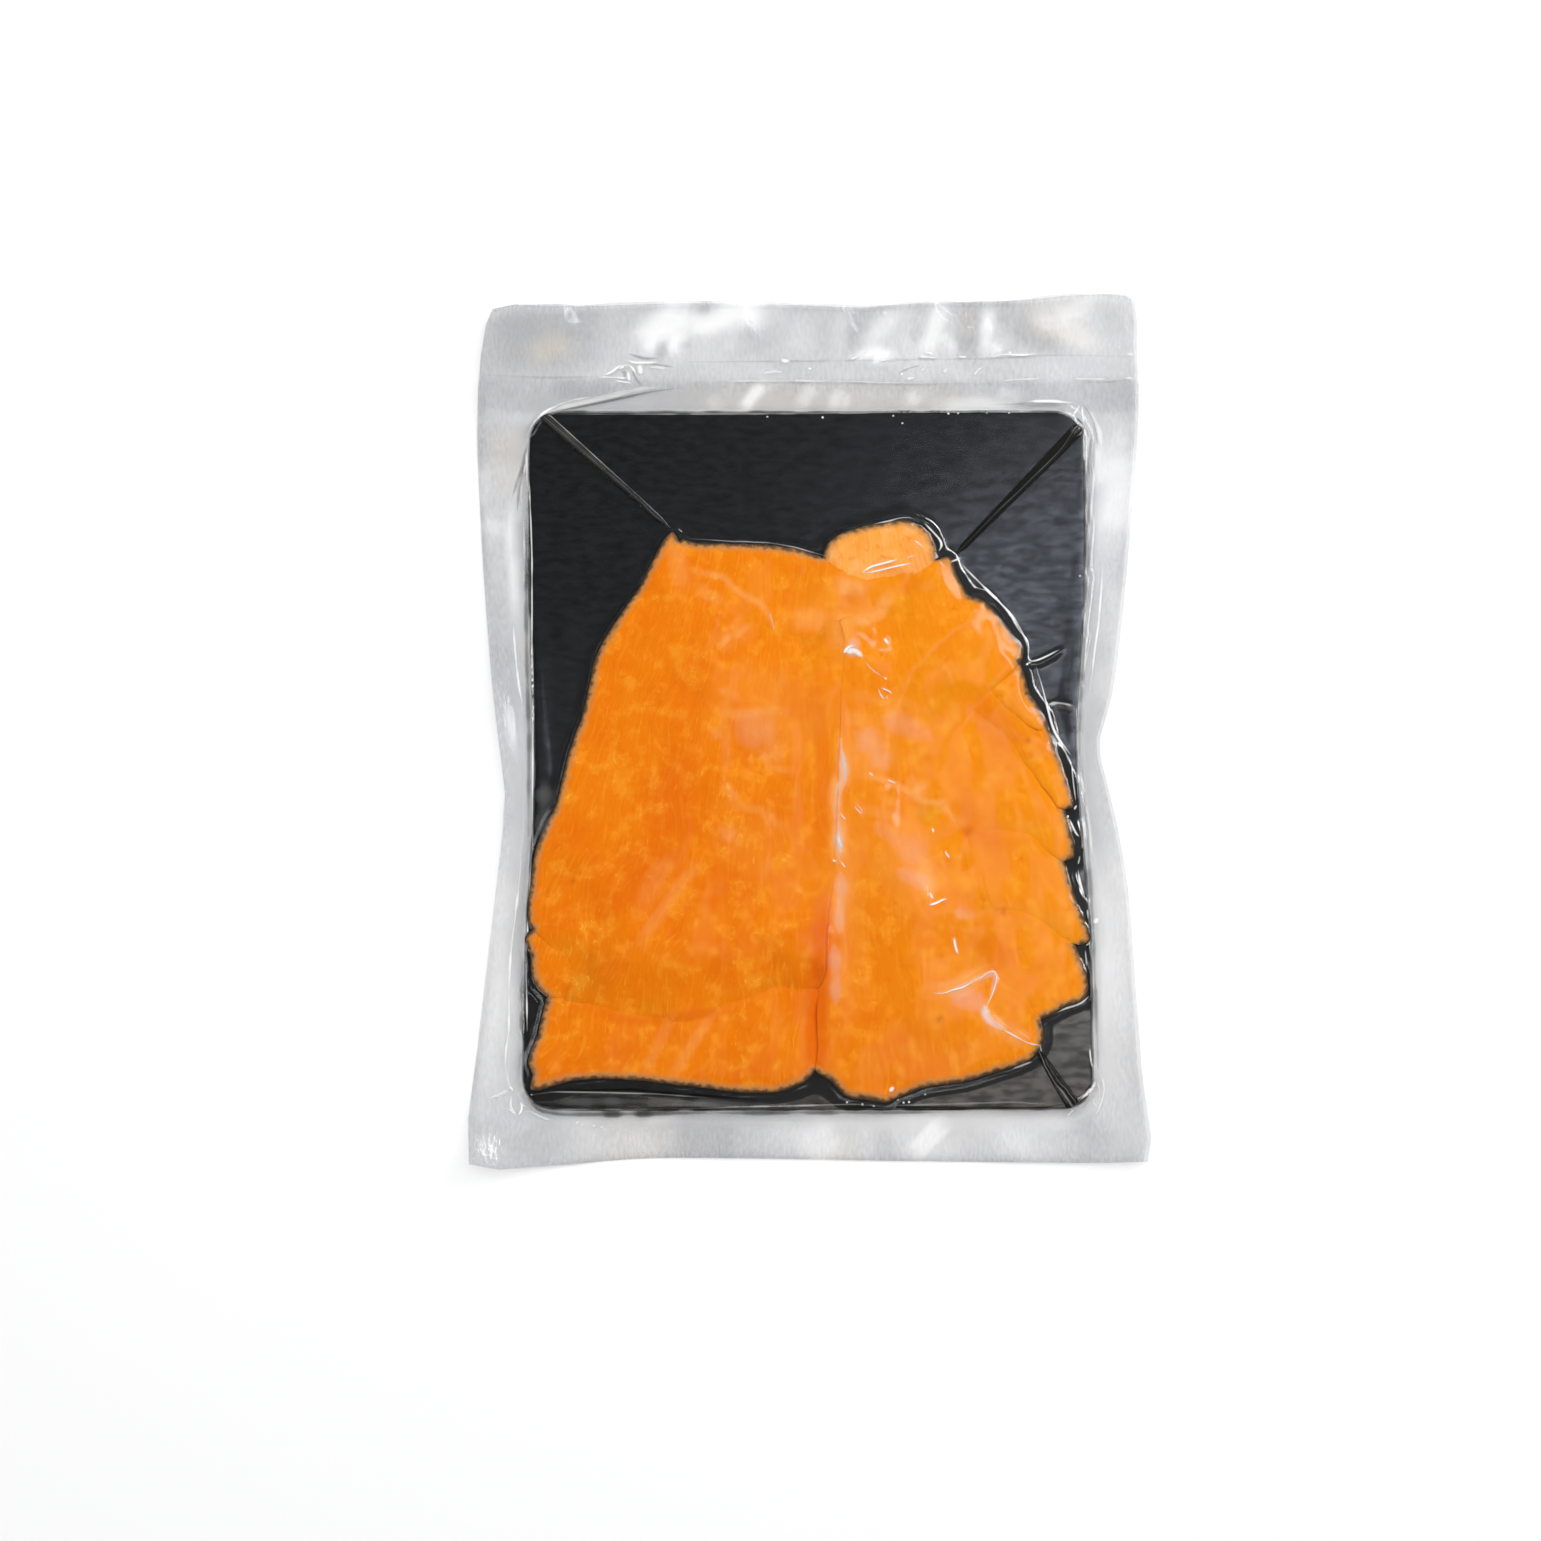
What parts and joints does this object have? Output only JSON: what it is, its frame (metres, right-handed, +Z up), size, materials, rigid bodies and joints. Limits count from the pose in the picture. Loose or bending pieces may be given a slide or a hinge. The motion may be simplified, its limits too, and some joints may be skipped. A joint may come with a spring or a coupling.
{
  "type": "pack of smoked salmon",
  "caption": "Clear vacuum pouch lying flat, holding a black card with fanned, overlapping slices of smoked salmon on it, with a welded lip at one end.",
  "frame": {"origin": "under the middle of the pouch, on the surface that it lies on", "axes": "+Z up out of the shown side, +Y towards the welded end, +X to the right as the picture shows it"},
  "size_m": [0.2011, 0.2643, 0.0122],
  "materials": {
    "film": "clear, slightly hazy laminated pouch film with a fine embossed grain on the border",
    "card_black": "black laminated card, smooth, with a soft sheen",
    "salmon": "moist orange smoked salmon flesh with fine pale fibres, seen through tight film",
    "salmon_pale": "paler, fattier smoked salmon flesh"
  },
  "bodies": {
    "root": {"pouch": "film", "card": "card_black", "slice_lower_left": "salmon", "slice_left_edge": "salmon", "slice_top_flap": "salmon_pale", "slice_top_band": "salmon", "slice_fan_1": "salmon", "slice_fan_2": "salmon", "slice_fan_3": "salmon", "slice_fan_4": "salmon", "slice_fan_5": "salmon", "slice_left": "salmon", "slice_right": "salmon"}
  },
  "joints": []
}
